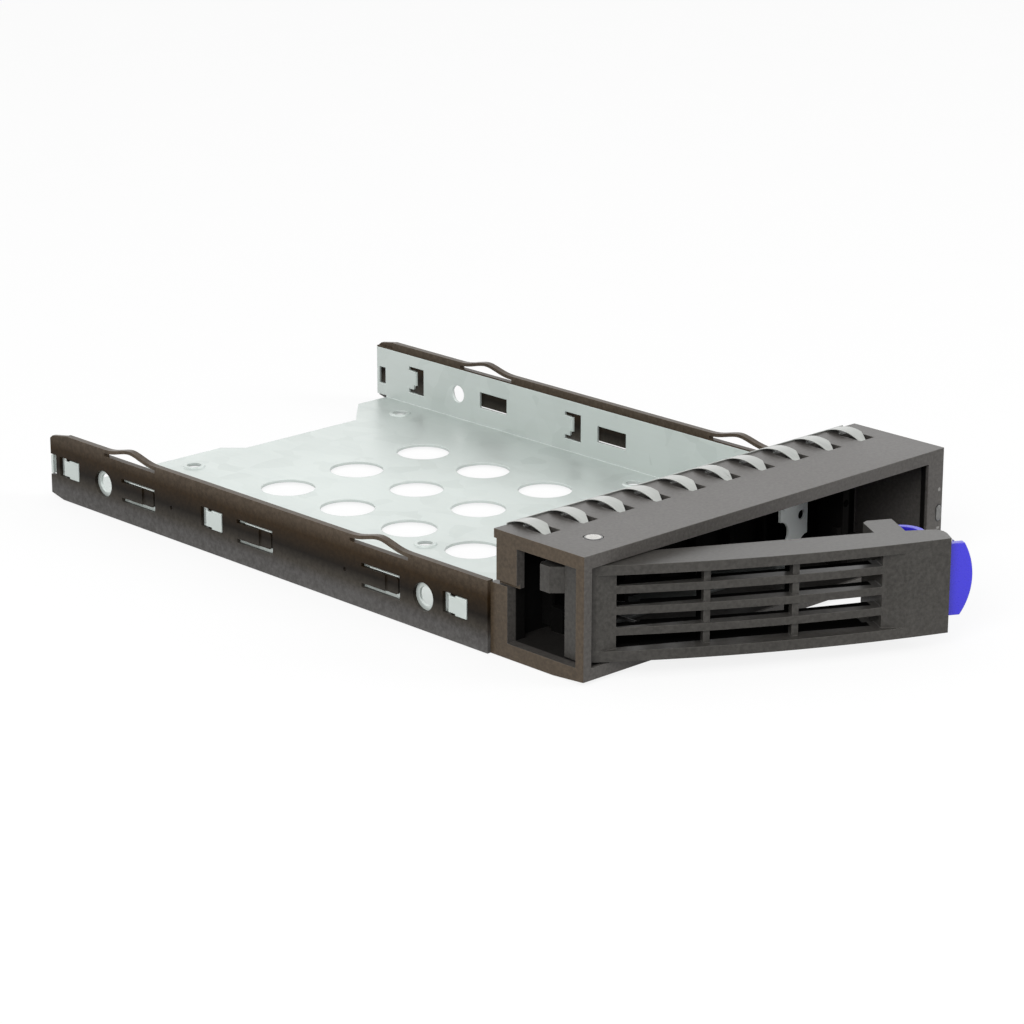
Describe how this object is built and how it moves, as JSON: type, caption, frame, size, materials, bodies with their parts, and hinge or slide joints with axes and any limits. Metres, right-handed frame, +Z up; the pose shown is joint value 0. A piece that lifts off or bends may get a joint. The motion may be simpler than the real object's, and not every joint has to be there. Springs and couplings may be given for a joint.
{
  "type": "hot-swap drive cage",
  "caption": "Slim open drive tray: vented sheet floor between two dark plastic rails, a dark front bezel with sprung metal fingers, a swinging grille lever and a blue release button.",
  "frame": {"origin": "middle of the width, on the bezel's front plane, at the level that the rails stand on", "axes": "+X across the bezel to the right seen from the front, +Y from the bezel to the rear end, +Z up"},
  "size_m": [0.1052, 0.2078, 0.0263],
  "materials": {
    "galvanised": "satin",
    "rail_plastic": "satin",
    "bezel_plastic": "fine texture",
    "spring_steel": "satin",
    "steel": "polished",
    "blue_plastic": "satin",
    "lens": "clear",
    "black_screw": "satin"
  },
  "bodies": {
    "cage": {"tray": "galvanised", "left_rail": "rail_plastic", "right_rail": "rail_plastic", "bezel": "bezel_plastic", "emi_gasket": "spring_steel", "lever_pin": "steel", "pin_clip": "spring_steel", "lever_spring": "spring_steel", "status_lens": "lens", "bezel_screws": "black_screw"},
    "lever": {"lever": "bezel_plastic", "button_spring": "spring_steel"},
    "button": {"release_button": "blue_plastic"}
  },
  "joints": [
    {"name": "lever_swing", "type": "hinge", "parent": "cage", "child": "lever", "pos_m": [-0.0417, 0.0075, 0.01285], "axis": [0, 0, 1], "range_deg": [0, 29.3], "stiffness_Nm_per_rad": 0.02, "springref_deg": -34.38, "deforming": ["lever_spring"]},
    {"name": "button_press", "type": "slide", "parent": "lever", "child": "button", "axis": [-0.8721, 0.4894, 0], "range_m": [0, 0.0018], "stiffness_N_per_m": 300, "springref_m": -0.002, "deforming": ["button_spring"]}
  ]
}
